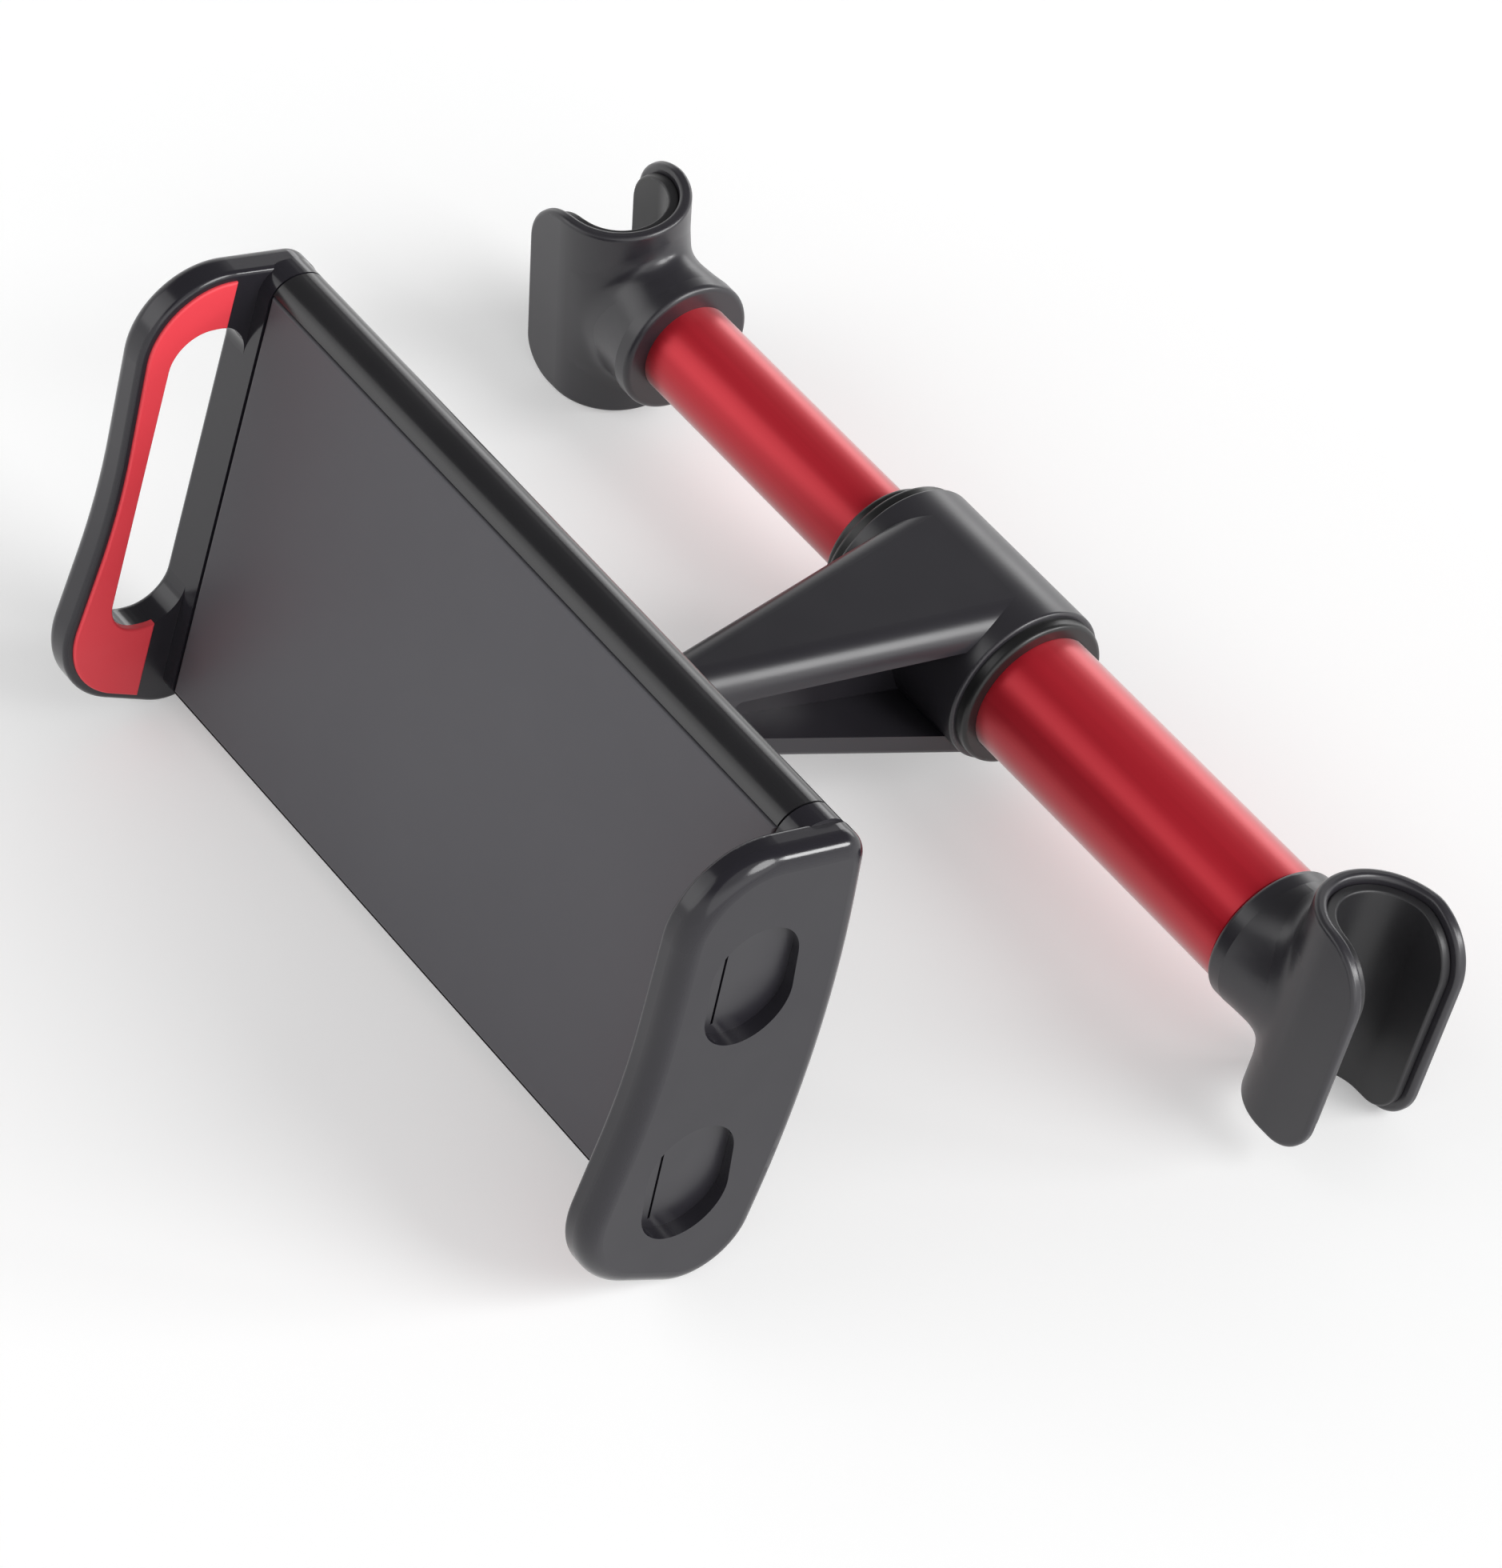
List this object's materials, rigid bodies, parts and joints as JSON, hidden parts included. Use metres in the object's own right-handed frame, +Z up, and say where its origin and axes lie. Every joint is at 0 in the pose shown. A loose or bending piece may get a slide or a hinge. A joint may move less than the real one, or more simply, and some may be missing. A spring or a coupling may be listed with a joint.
{
  "type": "headrest tablet mount",
  "caption": "Tablet mount for a car headrest: a telescopic bar with post forks at its ends carries a turning arm, a ball joint and a cradle with sprung sliding jaws.",
  "frame": {"origin": "on the axis of the post in the fixed fork, at the height of the bar", "axes": "+X along the bar, out past the fixed fork; +Z up along the post in the fixed fork; the cradle faces -Y"},
  "size_m": [0.1911, 0.1235, 0.0772],
  "materials": {
    "red_aluminium": "red anodised, satin",
    "black_plastic": "moulded, satin",
    "panel_plastic": "fine matt texture",
    "red_silicone": "matt",
    "black_rubber": "matt",
    "black_nylon": "satin",
    "zinc_steel": "zinc plated"
  },
  "bodies": {
    "bar": {"outer_tube": "red_aluminium", "fixed_clip": "black_plastic", "fixed_clip_liner": "black_rubber", "tube_guide_bush": "black_nylon"},
    "lock_plug": {"lock_expander": "black_nylon"},
    "inner_bar": {"inner_tube": "red_aluminium", "lock_screw": "black_nylon", "sliding_clip": "black_plastic", "sliding_clip_liner": "black_rubber"},
    "arm": {"arm": "black_plastic", "sleeve_bush_left": "black_nylon", "sleeve_bush_right": "black_nylon", "ball_stud": "black_plastic"},
    "friction_cup": {"friction_cup": "black_nylon"},
    "ball_nut": {"ball_nut": "black_plastic"},
    "cradle": {"cradle_front": "panel_plastic", "cradle_rear": "black_plastic", "cradle_screws": "zinc_steel", "left_spring": "zinc_steel", "right_spring": "zinc_steel"},
    "left_jaw": {"left_jaw": "black_plastic", "left_pad": "red_silicone", "left_tongue": "black_plastic", "left_jaw_screws": "zinc_steel"},
    "right_jaw": {"right_jaw": "black_plastic", "right_pad": "red_silicone", "right_tongue": "black_plastic", "right_jaw_screws": "zinc_steel"}
  },
  "joints": [
    {"name": "bar_length", "type": "slide", "parent": "bar", "child": "lock_plug", "axis": [1, 0, 0], "range_m": [-0.014, 0.034]},
    {"name": "lock_twist", "type": "hinge", "parent": "lock_plug", "child": "inner_bar", "pos_m": [-0.08, 0, 0], "axis": [1, 0, 0], "continuous": true},
    {"name": "arm_turn", "type": "hinge", "parent": "bar", "child": "arm", "pos_m": [-0.089, 0, 0], "axis": [1, 0, 0], "continuous": true},
    {"name": "ball_yaw", "type": "hinge", "parent": "arm", "child": "friction_cup", "pos_m": [-0.089, -0.0685, 0], "axis": [0, 0, 1], "range_deg": [-15, 15]},
    {"name": "ball_tilt", "type": "hinge", "parent": "friction_cup", "child": "ball_nut", "pos_m": [-0.089, -0.0685, 0], "axis": [1, 0, 0], "range_deg": [-15, 15]},
    {"name": "cradle_spin", "type": "hinge", "parent": "ball_nut", "child": "cradle", "pos_m": [-0.089, -0.0685, 0], "axis": [0, 1, 0], "continuous": true},
    {"name": "left_jaw_slide", "type": "slide", "parent": "cradle", "child": "left_jaw", "axis": [-1, 0, 0], "range_m": [0, 0.042], "stiffness_N_per_m": 200, "springref_m": -0.02, "deforming": ["left_spring"]},
    {"name": "right_jaw_slide", "type": "slide", "parent": "cradle", "child": "right_jaw", "axis": [1, 0, 0], "range_m": [0, 0.042], "stiffness_N_per_m": 200, "springref_m": -0.02, "deforming": ["right_spring"]}
  ]
}
